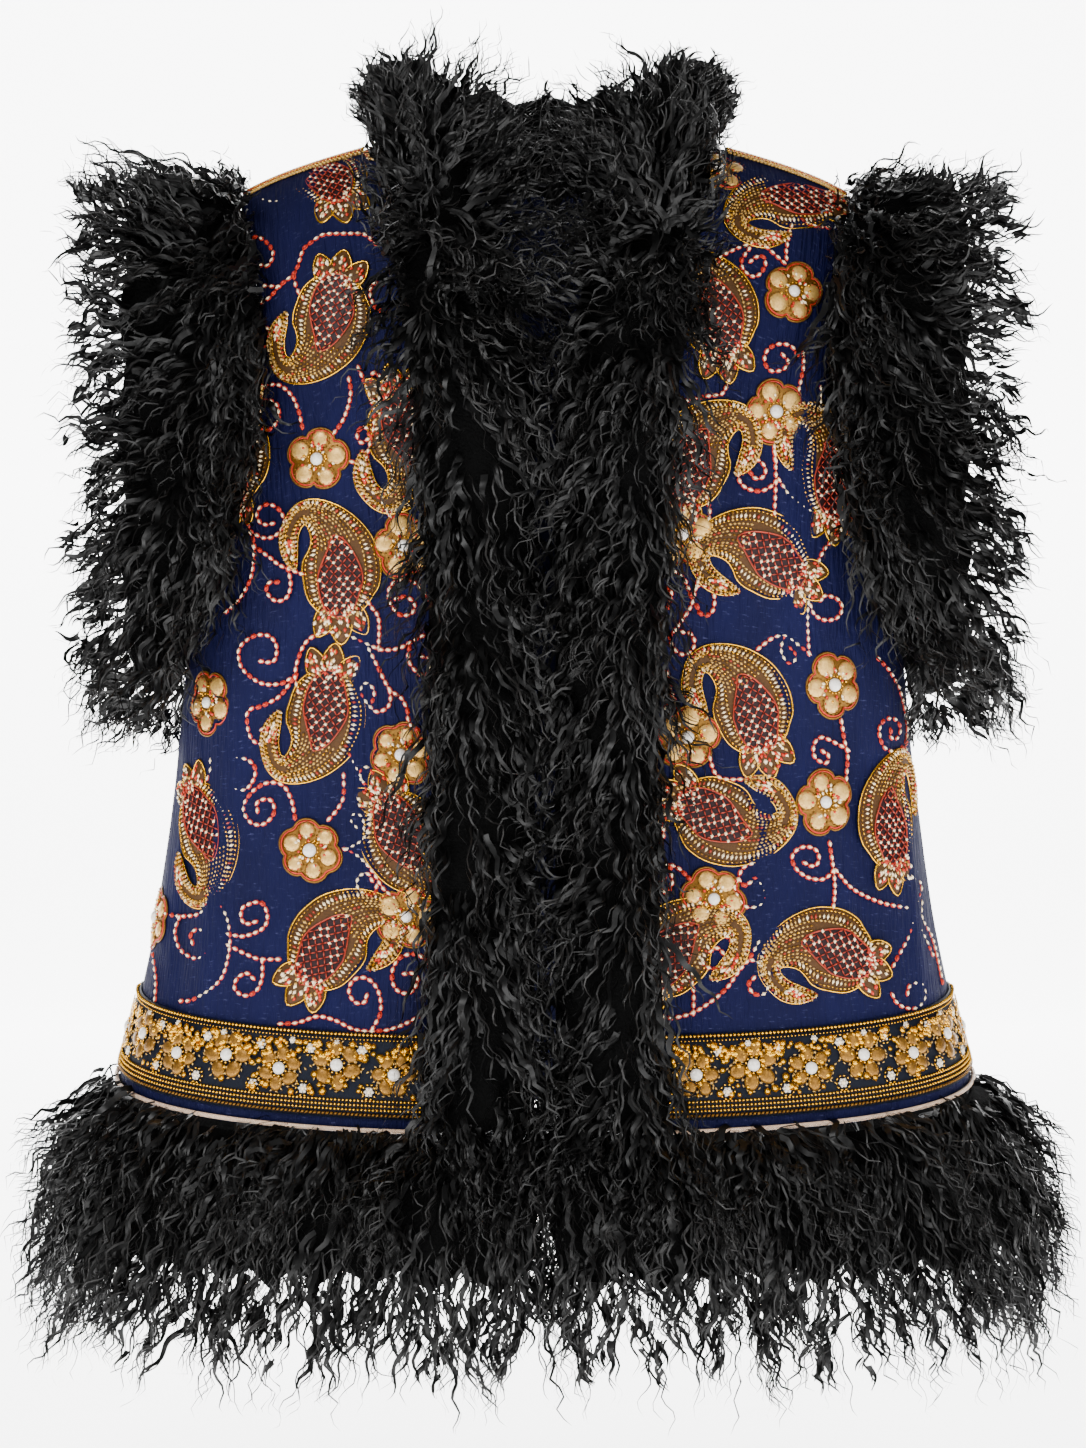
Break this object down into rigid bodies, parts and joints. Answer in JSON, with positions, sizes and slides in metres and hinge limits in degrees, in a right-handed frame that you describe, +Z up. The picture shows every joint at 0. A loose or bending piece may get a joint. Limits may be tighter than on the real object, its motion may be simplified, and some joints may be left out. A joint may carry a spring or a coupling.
{
  "type": "embroidered gilet trimmed with curly fur",
  "caption": "Open-fronted sleeveless gilet of embroidered navy cloth, with long curly fur at the neck, front edges, armholes and hem, filled out as when worn",
  "frame": {"origin": "midway between the two shoulder seams at the height of the neck, where the wearer's shoulders hold the gilet", "axes": "+Z up, the front of the gilet faces -Y, +X is on the right in a view of the front"},
  "size_m": [0.6348, 0.3369, 0.8492],
  "materials": {
    "crepe_cloth": "matte",
    "gold_embroidery": "satin",
    "piping_cord": "satin",
    "curly_fur": "satin",
    "loop_cord": "matte"
  },
  "bodies": {
    "root": {"front_left": "crepe_cloth", "front_right": "crepe_cloth", "back": "crepe_cloth", "hem_border_front_left": "gold_embroidery", "hem_border_front_right": "gold_embroidery", "hem_border_back": "gold_embroidery", "shoulder_trim_left": "gold_embroidery", "shoulder_trim_right": "gold_embroidery", "hem_piping_front_left": "piping_cord", "hem_piping_front_right": "piping_cord", "hem_piping_back": "piping_cord", "fur_band_left": "curly_fur", "fur_band_right": "curly_fur", "fur_collar": "curly_fur", "fur_armhole_left": "curly_fur", "fur_armhole_right": "curly_fur", "fur_hem_front_left": "curly_fur", "fur_hem_front_right": "curly_fur", "fur_hem_back": "curly_fur", "hanger_loop": "loop_cord"}
  },
  "joints": []
}
